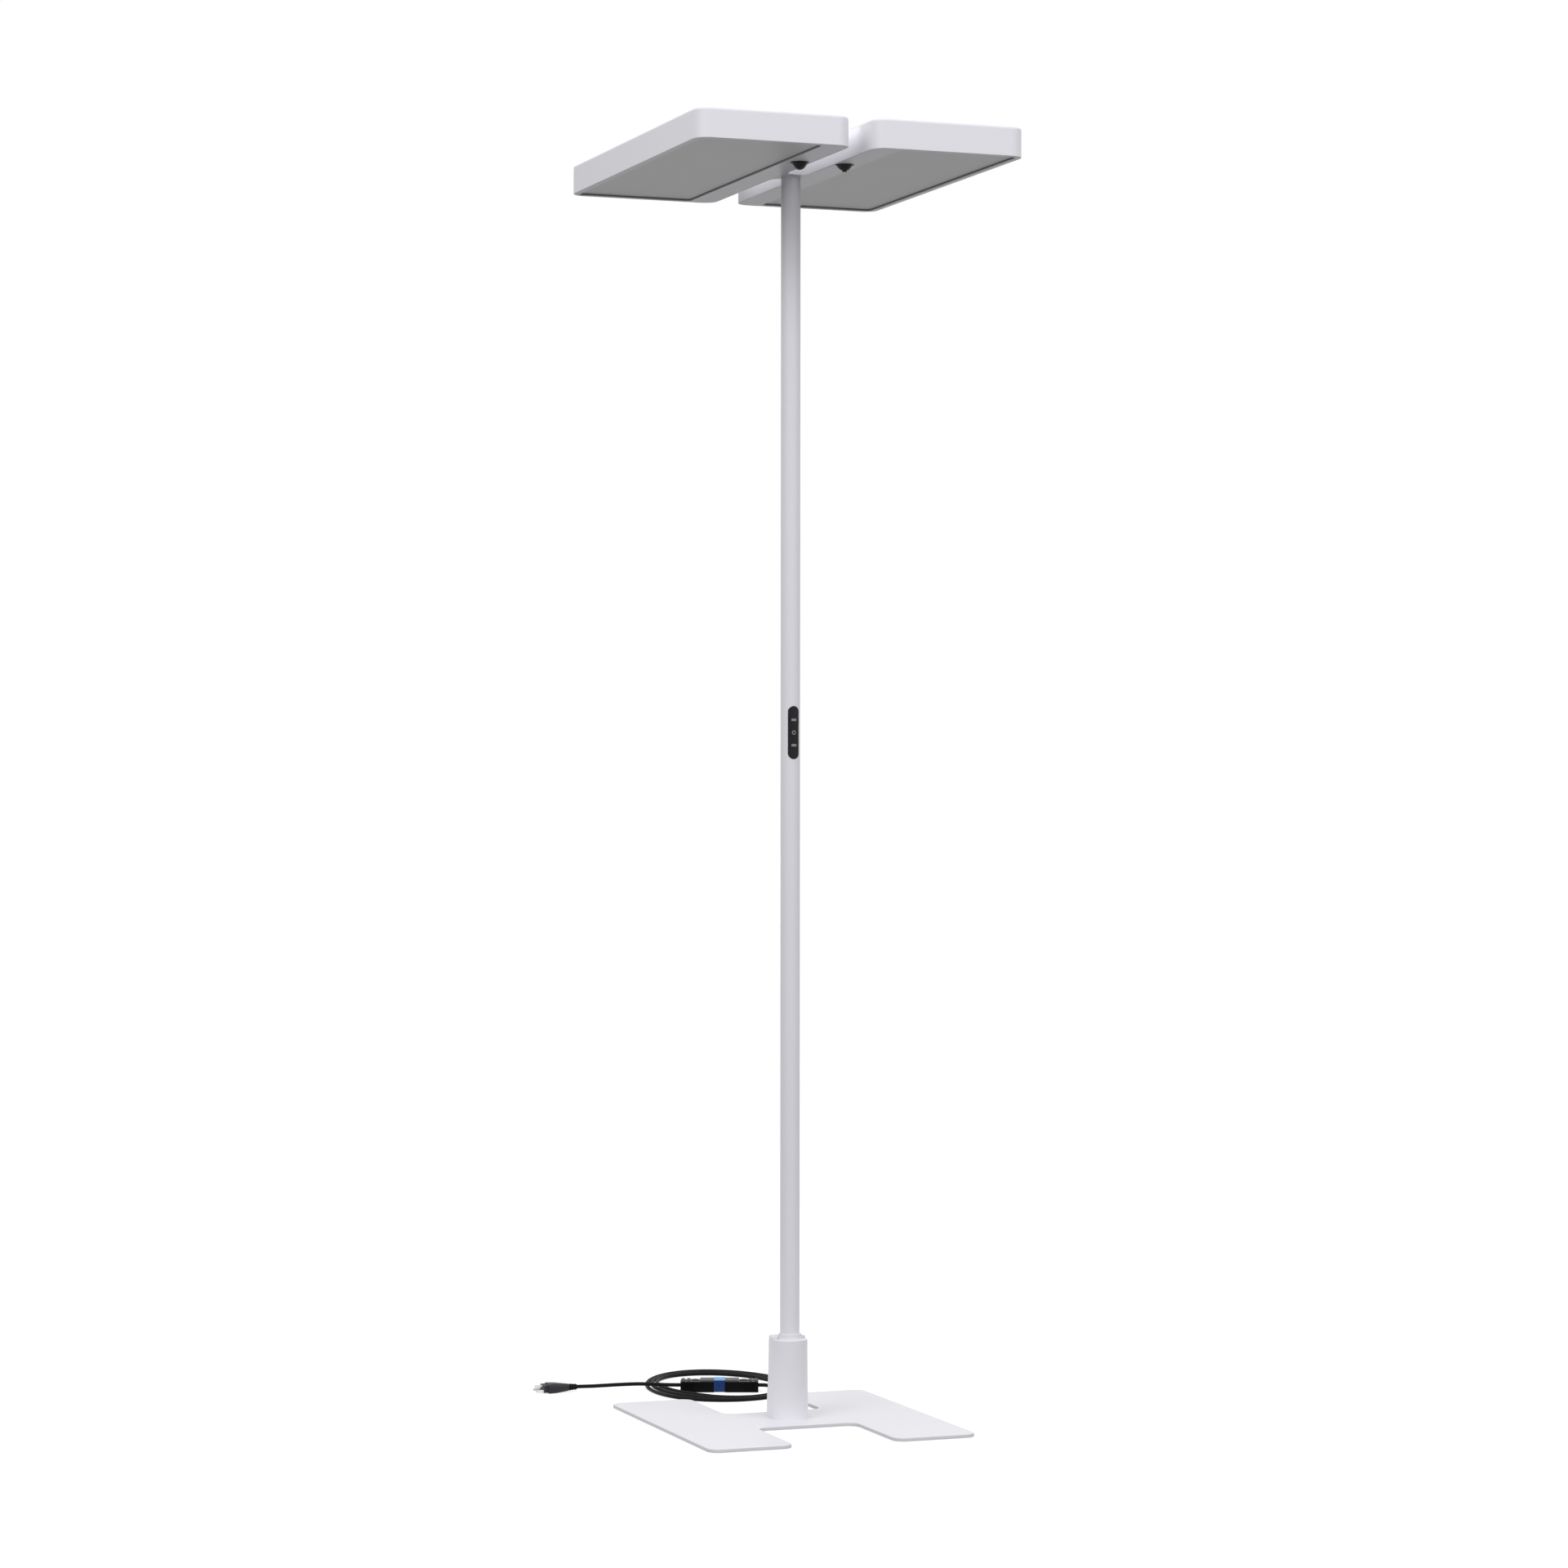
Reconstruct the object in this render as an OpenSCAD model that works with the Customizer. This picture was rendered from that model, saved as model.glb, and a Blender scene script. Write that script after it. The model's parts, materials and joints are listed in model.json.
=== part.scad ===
// Office floor lamp: two flat light heads on a slim column, an H-shaped base plate and a mains cord
// that lies coiled on the floor behind it, with an in-line coupling inside the coil.
// Millimetres, +Z up. The column stands on the Z axis, the floor is z = 0 and the front faces -Y.

/* [Overall] */
// Height of the lamp above the floor
overall_h = 1950; // [1700:10:2100]
// Outer diameter of the column
column_d = 30; // [28:1:34]
// Wall of the column tube
column_wall = 2; // [1.5:0.5:3]

/* [Heads] */
// Width of one head, across the lamp
head_w = 240; // [220:5:280]
// Length of a head, front to back
head_l = 608; // [560:4:700]
// Thickness of a head
head_t = 44; // [42:1:56]
// Gap between the two heads
head_gap = 36; // [34:1:44]
// Radius of the upright corners of a head
head_corner_r = 22; // [18:1:30]
// Radius of the upper edge of a head
head_edge_r = 3.5; // [2.5:0.5:4]
// Wall of the head housing
head_wall = 2; // [1.5:0.5:2.5]
// Width of the rim round the lower window
head_lip = 10; // [8:1:14]
// Width of the band between the lower window and the gap
head_band = 43; // [40:1:50]
// Depth at which the diffuser lies in the lower window
window_recess = 3; // [3:0.5:6]
// Width of the upper window
upper_window_w = 160; // [120:5:165]
// Length of the upper window
upper_window_l = 540; // [460:10:545]

/* [Sensors] */
// Distance of the left sensor from the inner side of its head
sensor_inset = 20; // [20:1:24]
// Distance of the sensors in front of the column
sensor_y = 138; // [110:2:160]
// Diameter of a sensor flange
sensor_d = 29; // [26:1:32]

/* [Bridge] */
// Width of the bridge at its waist, front to back
bridge_l = 50; // [46:2:60]
// Radius of the hollow corners between the bridge and the heads
bridge_fillet_r = 14; // [8:1:15]
// Height of the bridge block
bridge_h = 38; // [30:1:40]

/* [Base] */
// Width of the base plate
base_w = 424; // [380:4:480]
// Depth of the base plate, front to back
base_l = 470; // [420:5:520]
// Thickness of the base plate
base_t = 5; // [4:0.5:8]
// Width of the notches in the front and back edges
notch_w = 160; // [140:5:180]
// Depth of the notches
notch_depth = 165; // [140:5:165]
// Radius of the corners of the base plate
base_corner_r = 18; // [12:1:22]
// Thickness of the pads under the base plate
pad_t = 1; // [1:0.5:3]

/* [Socket] */
// Outer radius of the half-round front of the socket
socket_r = 27; // [26.5:0.5:29]
// How far the foot of the socket is wider than its top, on the radius
socket_flare = 0.7; // [0.2:0.1:1.5]
// Height of the front shell above the base plate
socket_h = 121.5; // [110:0.5:140]
// Wall of the socket shells
socket_wall = 2; // [1.5:0.5:2.5]
// How far the rear cover stands above the front shell
rear_rise = 4; // [2:0.5:6]
// Depth of the rear cover behind the column axis, at the base
rear_depth_low = 32; // [31:1:38]
// Depth of the rear cover behind the column axis, at the top
rear_depth_top = 24; // [22:1:28]

/* [Control panel] */
// Height of the middle of the panel
panel_z = 1055; // [1000:5:1150]
// Length of the panel
panel_l = 81; // [78:1:90]
// Width of the panel
panel_w = 17.4; // [16.5:0.1:18]
// Distance between the keys
key_pitch = 19.4; // [19:0.1:20]
// Travel of a key
key_travel = 0.6; // [0.3:0.1:0.6]

/* [Cord] */
// Diameter of the mains cord
cord_d = 6; // [5.6:0.1:6.2]
// Turn of the cord's layout about the column axis
cord_turn = -20.6; // [-22:0.1:-19]
// Length of the in-line coupling
coupling_l = 125; // [120:1:128]
// Depth of the in-line coupling
coupling_w = 31; // [28:1:32]
// Height of the in-line coupling
coupling_h = 20; // [19:0.5:21]
// Length of the plug's moulding, from its pin face to the cord
plug_l = 57; // [55:1:59]

/* [Hidden] */
$fn = 64;
seam = 0.01;

column_r = column_d / 2;
bore_r = column_r - column_wall;
head_z = overall_h - head_t;
head_x = head_gap / 2 + head_w / 2;
left_sensor_x = head_gap / 2 + sensor_inset;
right_sensor_x = left_sensor_x - 4;
base_z = pad_t;
base_top = pad_t + base_t;
wing_w = (base_w - notch_w) / 2;
web_l = base_l - 2 * notch_depth;
flange_t = 6;
column_foot = base_top + flange_t;

// The lower window of a head, from the head's own middle
window_w = head_w - head_band - head_lip;
window_l = head_l - 2 * head_lip;
window_x = (head_band - head_lip) / 2;
window_r = 8;
low_edge_r = 1.2;
rim_depth = 5;
diffuser_t = 3;
tray_z = 26;
tray_t = 1.2;
board_t = 1.6;
boss_dx = 88;
boss_y = [-236, 0, 236];
led_count = 13;
led_pitch = 40;

// The base plate's and the heads' square-turned outlines, anticlockwise
head_outline = [[head_w / 2, -head_l / 2], [head_w / 2, head_l / 2],
                [-head_w / 2, head_l / 2], [-head_w / 2, -head_l / 2]];
base_outline = [[base_w / 2, -base_l / 2], [base_w / 2, base_l / 2], [notch_w / 2, base_l / 2],
                [notch_w / 2, web_l / 2], [-notch_w / 2, web_l / 2], [-notch_w / 2, base_l / 2],
                [-base_w / 2, base_l / 2], [-base_w / 2, -base_l / 2], [-notch_w / 2, -base_l / 2],
                [-notch_w / 2, -web_l / 2], [notch_w / 2, -web_l / 2], [notch_w / 2, -base_l / 2]];

socket_top = base_top + socket_h;
rear_top = socket_top + rear_rise;
rear_lean = atan((rear_depth_low - rear_depth_top) / (rear_top - base_top));
rear_half_w = socket_r - 0.4;
rear_corner_r = 5;
rear_top_r = 3;
shell_seam = 0.5;
skirt_h = 44;
skirt_out = 0.8;
skirt_r = socket_r + socket_flare + skirt_out;
socket_split_y = 2;
port_z = 55;
cable_d = 5.8;
cable_y = 1.5;
block_y = column_r + 1;
set_screw_z = [35, 100];
collar_r = 17.5;
collar_h = 8.5;
gland_z = 16;
gland_out = 60;

key_w = 11.2;
key_h = 15.2;
key_face_r = column_r + 0.9;
key_back_y = -(bore_r - 2.1);
mat_y = key_back_y + key_travel + 1.3;
bezel_face_r = column_r + 0.6;

// Cord layout: x runs along the coupling, y away from the lamp, before the layout is turned
cord_r = cord_d / 2;
cord_lie = cord_r + 0.1;
coupling_x = [-175, -175 + coupling_l];
coupling_y = 311;
coupling_z = 10;
clip_w = 17.7;
plug_tail = [-342, 308, 7.5];
plug_yaw = 18;
plug_relief_l = 14;
plug_nose_l = 7;
plug_w = 32;
coil_from = -105;
coil_to = -1070;
rings_per_turn = 24;

// ------------------------------------------------------------------ shapes that several parts use

module rounded_rect(w, l, r) {
  square([w, l - 2 * r], center = true);
  square([w - 2 * r, l], center = true);
  for (x = [-1, 1], y = [-1, 1])
    translate([x * (w / 2 - r), y * (l / 2 - r)]) circle(r);
}

// Runs a wall section round a closed outline of square turns, with every corner at radius r.
// In the section, x is the distance in from the outline and y is the height.
module run_round(outline, r) {
  n = len(outline);
  for (i = [0 : n - 1]) {
    a = outline[i];
    b = outline[(i + 1) % n];
    c = outline[(i + 2) % n];
    ahead = (b - a) / norm(b - a);
    next = (c - b) / norm(c - b);
    inward = [-ahead[1], ahead[0]];
    heading = atan2(ahead[1], ahead[0]);
    outer_corner = ahead[0] * next[1] - ahead[1] * next[0] > 0;
    start = a + r * ahead;
    turn_start = b - r * ahead;
    translate([start[0], start[1], 0]) rotate([90, 0, heading + 90])
      linear_extrude(norm(b - a) - 2 * r) children();
    if (outer_corner) {
      centre = turn_start + r * inward;
      translate([centre[0], centre[1], 0]) rotate([0, 0, heading - 90])
        rotate_extrude(angle = 90) translate([r, 0]) mirror([1, 0]) children();
    } else {
      centre = turn_start - r * inward;
      translate([centre[0], centre[1], 0]) rotate([0, 0, heading])
        rotate_extrude(angle = 90) translate([r, 0]) children();
    }
  }
}

// A ring of fasteners, or of whatever it is given
module ring_of(count, r, from = 0)
  for (i = [0 : count - 1]) rotate([0, 0, from + i * 360 / count]) translate([r, 0, 0]) children();

// ------------------------------------------------------------------ base

module base_shape(inset) {
  for (s = [-1, 1]) translate([s * (notch_w + wing_w) / 2, 0])
    rounded_rect(wing_w - 2 * inset, base_l - 2 * inset, base_corner_r - inset);
  square([notch_w + 2 * base_corner_r, web_l - 2 * inset], center = true);
  for (x = [-1, 1], y = [-1, 1]) scale([x, y])
    translate([notch_w / 2 - base_corner_r, web_l / 2 - inset - seam])
      difference() {
        square([base_corner_r + inset + seam, base_corner_r + inset + seam]);
        translate([0, base_corner_r + inset + seam]) circle(base_corner_r + inset);
      }
}

// Edge of the plate: the upper corner is rounded and the lower one broken
module base_edge_section() {
  round_r = 1;
  band = 3;
  translate([round_r, 0]) square([band - round_r, base_t]);
  translate([0, 0.4]) square([round_r + seam, base_t - round_r - 0.4]);
  translate([0.4, 0]) square([round_r, 1]);
  translate([round_r, base_t - round_r]) circle(round_r);
}

module screw_well(d) {
  cylinder(d = d, h = base_t * 3, center = true);
  translate([0, 0, -seam]) cylinder(d1 = d * 2.2, d2 = d, h = 3.3);
}

module base_plate() color("gainsboro") translate([0, 0, base_z]) {
  difference() {
    linear_extrude(base_t) base_shape(3 - seam);
    ring_of(4, 18.5, 45) screw_well(5.4);
  }
  run_round(base_outline, base_corner_r) base_edge_section();
}

module foot_pads() color("dimgray")
  for (x = [-192, -100, 100, 192], y = [-214, 214])
    translate([x, y, 0]) cylinder(d = 28, h = pad_t);

module flange_screws() color("silver") ring_of(4, 18.5, 45) translate([0, 0, base_z]) {
  difference() {
    translate([0, 0, 0.2]) cylinder(d1 = 11.4, d2 = 5, h = 3);
    translate([0, 0, 0.1]) cylinder(d = 3.6, h = 1.8, $fn = 6);
  }
  translate([0, 0, 3.2 - seam]) cylinder(d = 5, h = base_t + flange_t - 4.2);
}

// ------------------------------------------------------------------ column

module cable_port() translate([0, 0, port_z]) rotate([-90, 0, 0]) cylinder(d = 8, h = 40);

module column_spigot() color("darkgray") difference() {
  union() {
    translate([0, 0, base_top]) cylinder(r = 23, h = flange_t);
    translate([0, 0, column_foot - seam]) cylinder(r = bore_r - 0.05, h = 108);
    translate([0, 0, column_foot + 108 - seam]) cylinder(r1 = bore_r - 0.05, r2 = bore_r - 1.5, h = 2);
  }
  translate([0, 0, column_foot + 10]) cylinder(d = 9, h = 200);
  ring_of(4, 18.5, 45) translate([0, 0, base_top - 1]) cylinder(d = 5, h = flange_t + 2);
  cable_port();
  for (z = set_screw_z) translate([0, 0, z]) rotate([-90, 0, 0])
    translate([0, 0, bore_r - 5]) cylinder(d = 5, h = 10);
}

module column_set_screws() color("dimgray") for (z = set_screw_z) translate([0, 0, z])
  rotate([-90, 0, 0]) difference() {
    translate([0, 0, bore_r - 5]) cylinder(d = 5, h = 6.8);
    translate([0, 0, bore_r - 1]) cylinder(d = 2.8, h = 8, $fn = 6);
  }

module column_tube() color("gainsboro") difference() {
  translate([0, 0, column_foot]) cylinder(r = column_r, h = head_z - column_foot);
  translate([0, 0, column_foot - 1]) cylinder(r = bore_r, h = head_z);
  cable_port();
  for (z = set_screw_z) translate([0, 0, z]) rotate([-90, 0, 0]) cylinder(d = 5.2, h = 40);
  translate([0, 0, panel_z]) panel_prism(panel_w - 2.6, panel_l - 2.6);
}

module column_collar() color("whitesmoke") translate([0, 0, socket_top]) rotate_extrude() {
  translate([column_r + 0.15, 0]) square([collar_r - column_r - 0.15, collar_h - 1]);
  translate([column_r + 0.15, collar_h - 1 - seam]) square([collar_r - column_r - 1.15, 1]);
  translate([collar_r - 1, collar_h - 1]) circle(1);
}

module column_top_plug() color("darkgray") difference() {
  translate([0, 0, head_z - 40]) cylinder(r = bore_r, h = 40);
  translate([0, 0, head_z - 41]) cylinder(d = 9, h = 50);
  translate([0, 0, head_z - 20]) ring_of(3, 8.8, 30) cylinder(d = 4.2, h = 30);
}

module column_cable() color("whitesmoke") {
  translate([0, cable_y, port_z]) cylinder(d = cable_d, h = head_z - port_z + 20);
  translate([0, cable_y, port_z]) sphere(d = cable_d);
  translate([0, cable_y, port_z]) rotate([-90, 0, 0]) cylinder(d = cable_d, h = block_y - cable_y);
}

module terminal_block() color("ivory") difference() {
  translate([-10, block_y, port_z - 15]) cube([20, 8.5, 30]);
  for (x = [-5, 5], z = [-10, 10]) translate([x, block_y + 4, port_z + z])
    rotate([-90, 0, 0]) cylinder(d = 4, h = 8);
}

// ------------------------------------------------------------------ socket

// Rear half of the socket as a leaning prism with round back corners, drawn in by a wall
module rear_prism(wall, widen, top) intersection() {
  translate([0, rear_depth_low - wall, base_top]) rotate([rear_lean, 0, 0])
    translate([0, -60, -30]) linear_extrude(240)
      rounded_rect(2 * (rear_half_w + widen - wall), 120, rear_corner_r - wall / 2);
  translate([-50, socket_split_y + shell_seam, base_top]) cube([100, 60, top - base_top]);
}

// Front view of the rear cover, with its rounded upper corners
module rear_front_view() {
  translate([-rear_half_w, 0]) square([2 * rear_half_w, rear_top - rear_top_r]);
  translate([rear_top_r - rear_half_w, 0]) square([2 * (rear_half_w - rear_top_r), rear_top]);
  for (s = [-1, 1]) translate([s * (rear_half_w - rear_top_r), rear_top - rear_top_r]) circle(rear_top_r);
}

module socket_front_shell() color("gainsboro") translate([0, 0, base_top]) difference() {
  intersection() {
    rotate_extrude() polygon([[0, 0], [skirt_r, 0], [socket_r + socket_flare, skirt_h],
                              [socket_r, socket_h - 0.8], [socket_r - 0.8, socket_h], [0, socket_h]]);
    translate([-50, -50, 0]) cube([100, 50 + socket_split_y, socket_h]);
  }
  translate([0, 0, -1]) cylinder(r1 = socket_r + socket_flare - socket_wall, r2 = socket_r - socket_wall,
                                 h = socket_h + 1 - socket_wall);
  cylinder(r = column_r + 0.2, h = 2 * socket_h);
}

module rear_cover() color("gainsboro") difference() {
  union() {
    intersection() {
      rear_prism(0, 0, rear_top);
      translate([0, 80, 0]) rotate([90, 0, 0]) linear_extrude(100) rear_front_view();
    }
    rear_prism(0, skirt_out, base_top + skirt_h);
  }
  rear_prism(socket_wall, 0, socket_top - socket_wall);
  translate([0, 0, socket_top - seam]) cylinder(r = collar_r + 0.2, h = 30);
  cylinder(r = column_r + 0.4, h = 300);
  translate([0, 0, gland_z]) rotate([-90, 0, 0]) cylinder(d = 9, h = 80);
  at_cover_screws() {
    translate([0, 0, -3]) cylinder(d = 6, h = 4);
    cylinder(d = 3.2, h = 10);
  }
}

// The two screws stand square to the leaning back wall, with +z into the cover
module at_cover_screws() for (z = [84, 116])
  translate([0, rear_depth_low - (z - base_top) * tan(rear_lean), z])
    rotate([90 + rear_lean, 0, 0]) children();

module rear_cover_screws() color("silver") at_cover_screws() {
  difference() {
    translate([0, 0, -0.6]) cylinder(d = 6, h = 1.6);
    translate([0, 0, -1]) cylinder(d = 2.5, h = 1.4, $fn = 6);
  }
  translate([0, 0, 1 - seam]) cylinder(d = 3.2, h = 5);
}

// ------------------------------------------------------------------ bridge between the heads

module bridge_outline() difference() {
  square([head_gap, bridge_l + 2 * bridge_fillet_r], center = true);
  for (y = [-1, 1]) {
    for (x = [-1, 1]) translate([x * (head_gap / 2 - bridge_fillet_r), y * (bridge_l / 2 + bridge_fillet_r)])
      circle(bridge_fillet_r);
    translate([0, y * (bridge_l / 2 + bridge_fillet_r)])
      square([head_gap - 2 * bridge_fillet_r, 2 * bridge_fillet_r], center = true);
  }
}

module bridge_block() color("gainsboro") translate([0, 0, head_z]) difference() {
  linear_extrude(bridge_h) bridge_outline();
  translate([0, 0, 4]) linear_extrude(bridge_h) rounded_rect(head_gap - 6, bridge_l - 6, 4);
  cylinder(d = 10, h = 20, center = true);
  ring_of(3, 8.8, 30) cylinder(d = 4.4, h = 20, center = true);
  for (y = [-15, 15]) translate([-50, y, 22]) rotate([0, 90, 0]) cylinder(d = 5, h = 100);
  translate([-50, 0, 22]) rotate([0, 90, 0]) cylinder(d = 12, h = 100);
}

module bridge_cover() color("gainsboro") translate([0, 0, head_z + bridge_h])
  linear_extrude(2) bridge_outline();

module bridge_screws() color("silver") {
  ring_of(3, 8.8, 30) translate([0, 0, head_z + 4]) {
    difference() {
      cylinder(d = 7, h = 3);
      translate([0, 0, 1.4]) cylinder(d = 3.4, h = 3, $fn = 6);
    }
    translate([0, 0, -20]) cylinder(d = 4.2, h = 20 + seam);
  }
  for (s = [-1, 1], y = [-15, 15]) scale([s, 1, 1])
    translate([head_gap / 2 + head_wall, y, head_z + 22]) rotate([0, 90, 0]) {
      difference() {
        cylinder(d = 8.5, h = 3);
        translate([0, 0, 1.4]) cylinder(d = 3.8, h = 3, $fn = 6);
      }
      translate([0, 0, -5]) cylinder(d = 5, h = 5 + seam);
    }
}

// ------------------------------------------------------------------ heads: drawn on the right and mirrored

module in_head() translate([head_x, 0, head_z]) children();
module left_of() mirror([1, 0, 0]) children();

// Section of the housing's rim: a wall that turns into the upper and the lower skin
module rim_section() difference() {
  union() {
    translate([head_edge_r, 0]) square([rim_depth - head_edge_r, head_t]);
    translate([0, low_edge_r]) square([head_edge_r + seam, head_t - low_edge_r - head_edge_r]);
    translate([low_edge_r, 0]) square([head_edge_r, low_edge_r + seam]);
    translate([head_edge_r, head_t - head_edge_r]) circle(head_edge_r);
    translate([low_edge_r, low_edge_r]) circle(low_edge_r);
  }
  translate([head_wall, head_wall]) square([rim_depth, head_t - 2 * head_wall]);
}

module skin(inset) rounded_rect(head_w - 2 * inset, head_l - 2 * inset, head_corner_r - inset);
module lower_window(grow) translate([window_x, 0])
  rounded_rect(window_w + 2 * grow, window_l + 2 * grow, window_r + grow);
module upper_window(grow) translate([window_x, 0])
  rounded_rect(upper_window_w + 2 * grow, upper_window_l + 2 * grow, window_r + grow);

module at_bosses() for (x = [-boss_dx, boss_dx], y = boss_y) translate([window_x + x, y, 0]) children();

module housing(sensor_x) in_head() difference() {
  union() {
    run_round(head_outline, head_corner_r) rim_section();
    linear_extrude(head_wall) difference() {
      skin(rim_depth - seam);
      lower_window(0);
    }
    linear_extrude(window_recess) difference() {
      lower_window(1.5);
      lower_window(0);
    }
    translate([0, 0, head_t - head_wall]) linear_extrude(head_wall) difference() {
      skin(rim_depth - seam);
      upper_window(0);
    }
    translate([0, 0, head_t - 5]) linear_extrude(5) difference() {
      upper_window(1.5);
      upper_window(0);
    }
    translate([0, 0, head_t - 5]) linear_extrude(1.5) difference() {
      upper_window(seam);
      upper_window(-3);
    }
    at_bosses() difference() {
      translate([0, 0, tray_z]) cylinder(d = 9, h = head_t - tray_z - 1);
      translate([0, 0, tray_z - 1]) cylinder(d = 3.4, h = 12);
    }
  }
  translate([sensor_x - head_x, -sensor_y, -1]) cylinder(d = 22, h = 6);
  for (y = [-15, 15]) translate([-head_w / 2 - 1, y, 22]) rotate([0, 90, 0]) cylinder(d = 5.4, h = 6);
  translate([-head_w / 2 - 1, 0, 22]) rotate([0, 90, 0]) cylinder(d = 12, h = 6);
}

module diffuser() in_head() translate([0, 0, window_recess])
  linear_extrude(diffuser_t) lower_window(2.5);

module uplight_cover() in_head() translate([0, 0, head_t - 3.5])
  linear_extrude(3) upper_window(-0.3);

// Folded sheet that carries the light boards: a flat web with turned-down edges and wire slots
module gear_tray() in_head() difference() {
  union() {
    translate([0, 0, tray_z - tray_t]) linear_extrude(tray_t)
      translate([window_x, 0]) rounded_rect(194, 560, 3);
    for (x = [-1, 1]) translate([window_x + x * (97 - tray_t / 2) - tray_t / 2, -277, tray_z - 12])
      cube([tray_t, 554, 12 - seam]);
  }
  at_bosses() translate([0, 0, tray_z - 3]) cylinder(d = 4.4, h = 6);
  for (y = [-120, 120]) translate([window_x - 74, y, tray_z - 3])
    linear_extrude(6) rounded_rect(10, 40, 4.9);
}

module tray_screws() in_head() at_bosses() translate([0, 0, tray_z - tray_t]) {
  difference() {
    translate([0, 0, -2.4]) cylinder(d = 7, h = 2.4);
    translate([0, 0, -2.5]) cylinder(d = 2.6, h = 1.6, $fn = 6);
  }
  cylinder(d = 3.4, h = 10);
}

module led_row(z, up) for (i = [0 : led_count - 1])
  translate([0, (i - (led_count - 1) / 2) * led_pitch, z + (up ? 0.35 : -0.35)])
    cube([3, 3, 0.7], center = true);

module down_boards() in_head() for (x = [-45, 45]) translate([window_x + x, 0, 0]) {
  translate([-10, -270, tray_z - tray_t - board_t]) cube([20, 540, board_t]);
  led_row(tray_z - tray_t - board_t, false);
}

module up_board() in_head() translate([window_x, 0, 0]) {
  translate([-12, -270, tray_z]) cube([24, 540, board_t]);
  led_row(tray_z + board_t, true);
}

// Mains driver in the band beside the gap, with its cover's end steps
module driver() in_head() translate([-head_w / 2 + 20, 60, head_wall]) {
  translate([-15, 0, 0]) cube([30, 220, 3]);
  translate([0, 110, 3 - seam]) linear_extrude(18) rounded_rect(28, 190, 3);
  for (y = [6, 214]) translate([-6, y - 5, 3 - seam]) cube([12, 10, 6]);
}

// Flange of a sensor, with the neck that goes up through the housing
module sensor_flange() {
  translate([0, -1.2]) square([sensor_d / 2 - 0.5, 1.2]);
  translate([sensor_d / 2 - 0.6, -0.6]) circle(0.6);
  translate([0, -seam]) square([10.8, 6]);
}

// Motion sensor: a conical lens that ends in a round tip
module dome_lens() translate([left_sensor_x, -sensor_y, head_z]) rotate_extrude() {
  tip_r = 10;
  tip_z = -1.6;
  lean = 36.4;
  sensor_flange();
  polygon([[0, -1.1], [12.5, -1.1], [12.5, -1.5], [tip_r * cos(lean), tip_z - tip_r * sin(lean)], [0, -7.5]]);
  intersection() {
    translate([0, tip_z]) circle(tip_r);
    translate([0, -20]) square([20, 12.6]);
  }
}

// Daylight sensor: a blunt cone with a small light pipe at its tip
module cone_lens() translate([right_sensor_x, -sensor_y, head_z]) {
  rotate_extrude() {
    sensor_flange();
    polygon([[0, -1.1], [12.5, -1.1], [11.8, -2.2], [6.5, -7.8], [5.4, -8.4], [0, -8.4]]);
  }
  translate([0, 0, -10.9]) cylinder(r1 = 3.1, r2 = 4, h = 2.6);
}

module sensor_body(sensor_x) translate([sensor_x, -sensor_y, head_z + head_wall]) difference() {
  union() {
    cylinder(d = 24, h = 4);
    translate([0, 0, 4 - seam]) cylinder(d = 20, h = 16);
  }
  translate([0, 0, -1]) cylinder(r = 10.9, h = 5);
}

module left_housing() color("gainsboro") left_of() housing(left_sensor_x);
module right_housing() color("gainsboro") housing(right_sensor_x);
module left_diffuser() color("white") left_of() diffuser();
module right_diffuser() color("white") diffuser();
module left_uplight_cover() color("whitesmoke") left_of() uplight_cover();
module right_uplight_cover() color("whitesmoke") uplight_cover();
module left_gear_tray() color("silver") left_of() gear_tray();
module right_gear_tray() color("silver") gear_tray();
module left_tray_screws() color("silver") left_of() tray_screws();
module right_tray_screws() color("silver") tray_screws();
module left_down_boards() color("white") left_of() down_boards();
module right_down_boards() color("white") down_boards();
module left_up_board() color("white") left_of() up_board();
module right_up_board() color("white") up_board();
module left_driver() color("lightgray") left_of() driver();
module right_driver() color("lightgray") driver();
module left_sensor_lens() color("black") left_of() dome_lens();
module right_sensor_lens() color("black") cone_lens();
module left_sensor_body() color("dimgray") left_of() sensor_body(left_sensor_x);
module right_sensor_body() color("dimgray") sensor_body(right_sensor_x);

// ------------------------------------------------------------------ control panel

// An upright slot shape pushed through the front of the column
module panel_prism(w, l) rotate([90, 0, 0]) linear_extrude(40) rounded_rect(w, l, w / 2 - seam);
module key_prism(w, l, r) rotate([90, 0, 0]) linear_extrude(40) rounded_rect(w, l, r);
module at_keys() for (i = [-1, 0, 1]) translate([0, 0, panel_z + i * key_pitch]) children();

module panel_bezel() color("black") difference() {
  union() {
    intersection() {
      translate([0, 0, panel_z - panel_l]) cylinder(r = bezel_face_r, h = 2 * panel_l);
      translate([0, 0, panel_z]) panel_prism(panel_w, panel_l);
    }
    intersection() {
      translate([0, 0, panel_z - panel_l]) cylinder(r = column_r + 0.1, h = 2 * panel_l);
      translate([0, 0, panel_z]) panel_prism(panel_w - 2.8, panel_l - 2.8);
    }
  }
  difference() {
    translate([0, 0, panel_z - panel_l]) cylinder(r = column_r, h = 2 * panel_l);
    translate([0, 0, panel_z]) panel_prism(panel_w - 2.8, panel_l - 2.8);
  }
  translate([0, 0, panel_z - panel_l]) cylinder(r = bore_r, h = 2 * panel_l);
  at_keys() key_prism(key_w + 0.4, key_h + 0.4, 3);
}

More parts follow.
